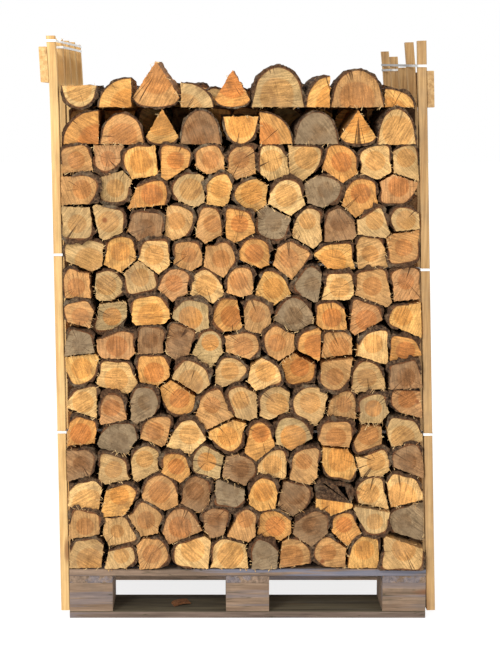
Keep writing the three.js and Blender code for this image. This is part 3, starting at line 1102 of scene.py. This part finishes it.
@dataclass
class Frame:
    """The pallet, laths, rails, ties and loose chip, which keep their CAD shapes."""

    nodes: dict[str, bpy.types.Object]

    def dress(self) -> None:
        """Gives each CAD node its finish."""
        # The left laths and rails take a paler copy of the lath colours as painted light, the right ones a
        # darker copy as painted shade.
        left = linear(234, 196, 134), linear(206, 158, 98)
        right = linear(204, 166, 114), linear(164, 124, 78)
        board = linear(160, 134, 112), linear(112, 92, 76)
        edge = linear(134, 114, 100), linear(88, 72, 62)
        block = linear(158, 132, 108), linear(118, 94, 74)
        looks = {
            # Painted light on the left laths and rails, painted shade on the right ones.
            "lath_left": Planed("pale lath", Grain.ALONG_Z, *left, 0.12),
            "lath_right": Planed("darker lath", Grain.ALONG_Z, *right, 0.22),
            "rail_left": Planed("pale rail", Grain.ALONG_Y, *left, 0.15),
            "rail_right": Planed("darker rail", Grain.ALONG_Y, *right, 0.2),
            # The front base board's top, under the deck, is painted in shade.
            "base_board_front": Planed("dark base board", Grain.ALONG_X, *edge, 0.45, 0.3, 0.0208),
            "base_board": Planed("base board", Grain.ALONG_X, *board, 0.5, 0.3),
            "deck_board": Planed("deck board", Grain.ALONG_X, *board, 0.5, 0.55),
            "cross_board": Planed("cross board", Grain.ALONG_Y, *board, 0.5, 0.3),
            "block": Planed("pallet block", Grain.ALONG_X, *block, 0.45, 0.22),
        }
        made = {key: look.material() for key, look in looks.items()}
        made["tie"] = FlatTie().material()
        made["bark_chip"] = Bark().material()
        for name, node in self.nodes.items():
            key = next((k for k in made if name.startswith(k)), None)
            if key:
                node.data.materials.clear()
                node.data.materials.append(made[key])
        LOG.info("frame: %d materials", len(made))


@dataclass
class Splinters:
    """Torn slivers of wood left standing along the edges of the sawn ends."""

    cuts: tuple[Cut, ...]
    finish: bpy.types.Material
    count: int = 1500
    length: tuple[float, float] = (0.006, 0.026)
    width: float = 0.0009

    def build(self) -> bpy.types.Object:
        """Makes all the slivers as one object."""
        rng = random.Random(4242)
        bm = bmesh.new()
        usable = [cut for cut in self.cuts if cut.tone is not Tone.DARK]
        for _ in range(self.count):
            cut = rng.choice(usable)
            arc, faces = cut.runs()
            edge = evenly([arc[-1], *faces, arc[0]], 0.01)
            index = rng.randrange(len(edge) - 1)
            place = edge[index].lerp(edge[index + 1], rng.random())
            long = rng.uniform(*self.length)
            wide = self.width * rng.uniform(0.6, 1.6)
            cone = bmesh.ops.create_cone(
                bm, cap_ends=True, segments=4, radius1=wide, radius2=wide * 0.15, depth=long
            )
            lay = Matrix.Rotation(
                rng.uniform(0, 2 * math.pi), 4, "Y"
            ) @ Matrix.Rotation(rng.uniform(-0.5, 0.25), 4, "X")
            flat = Matrix.Diagonal((1.0, 0.45, 1.0, 1.0))
            spot = Matrix.Translation((place.x, -0.404 + rng.uniform(-0.004, 0.006), place.z))
            bmesh.ops.transform(bm, matrix=spot @ lay @ flat, verts=cone["verts"])
        for vert in bm.verts:
            left, right = lath_faces(vert.co.z)
            vert.co.x = min(max(vert.co.x, left), right)
        mesh = bpy.data.meshes.new("splinters")
        bm.to_mesh(mesh)
        bm.free()
        LOG.info("splinters: %d", self.count)
        return add_piece("splinters", mesh, (self.finish,), ["bank_front"])


@dataclass
class Studio:
    """The camera, the pale floor and the soft light."""

    place: tuple[float, float, float] = (-0.12, -4.40, 1.74)
    pitch: float = math.radians(84.85)
    lens: float = 66.87
    shift: tuple[float, float] = (0.0576, -0.18)
    sky: float = 1.0
    key: float = 160.0
    fill: float = 10.0

    def camera(self) -> None:
        """Stands the camera in front of the stack, a little left of its middle."""
        data = bpy.data.cameras.new("camera")
        data.sensor_width = 36.0
        data.lens = self.lens
        data.shift_x, data.shift_y = self.shift
        made = bpy.data.objects.new("camera", data)
        made.location = self.place
        made.rotation_euler = (self.pitch, 0.0, 0.0)
        bpy.context.scene.collection.objects.link(made)
        bpy.context.scene.camera = made

    def lamp(self, name: str, size: float, power: float, place: tuple, target: tuple) -> None:
        """Adds one soft square lamp that faces a target."""
        data = bpy.data.lights.new(name, "AREA")
        data.shape = "SQUARE"
        data.size = size
        data.energy = power
        made = bpy.data.objects.new(name, data)
        made.location = place
        made.rotation_euler = (Vector(target) - Vector(place)).to_track_quat("-Z", "Y").to_euler()
        bpy.context.scene.collection.objects.link(made)

    def build(self) -> None:
        """Lays the floor and sets the lamps and the sky."""
        bm = bmesh.new()
        bmesh.ops.create_grid(bm, x_segments=1, y_segments=1, size=30.0)
        bmesh.ops.translate(bm, verts=bm.verts, vec=(0.0, 0.0, -0.0005))
        mesh = bpy.data.meshes.new("floor")
        bm.to_mesh(mesh)
        bm.free()
        g = Graph("pale floor")
        g.shader.inputs["Base Color"].default_value = (0.3, 0.3, 0.3, 1.0)
        g.shader.inputs["Roughness"].default_value = 0.95
        g.shader.inputs["Emission Color"].default_value = (1.0, 1.0, 1.0, 1.0)
        g.shader.inputs["Emission Strength"].default_value = 0.8
        mesh.materials.append(g.material)
        floor = bpy.data.objects.new("floor", mesh)
        bpy.context.scene.collection.objects.link(floor)
        self.lamp("key lamp", 1.6, self.key, (-3.2, -4.2, 4.2), (0.0, 0.0, 0.9))
        self.lamp("fill lamp", 3.0, self.fill, (3.6, -4.0, 2.2), (0.0, 0.0, 0.9))
        bpy.context.scene.view_settings.view_transform = "Standard"
        world = bpy.data.worlds.new("studio air")
        world.use_nodes = True
        world.node_tree.nodes["Background"].inputs["Color"].default_value = (1.0, 1.0, 1.0, 1.0)
        world.node_tree.nodes["Background"].inputs["Strength"].default_value = self.sky
        bpy.context.scene.world = world
        LOG.info("studio: floor, 2 lamps, sky")


def main() -> None:
    """Builds the scene in order."""
    logging.basicConfig(level=logging.INFO, format="%(name)s: %(message)s", stream=sys.stdout)
    studio = Studio()
    studio.camera()
    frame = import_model()
    Frame(frame["nodes"]).dress()
    finishes = (SawnEnd().material(), SplitSide().material(), Bark().material())
    stack = Stack(finishes)
    cuts = tuple(stack.front())
    stack.edges(Bank.FRONT, 77)
    stack.edges(Bank.REAR, 78)
    stack.hidden(Bank.MIDDLE, 8, 5)
    stack.hidden(Bank.REAR, 9, 5)
    Splinters(cuts, Straw().material()).build()
    studio.build()


if __name__ == "__main__":
    main()
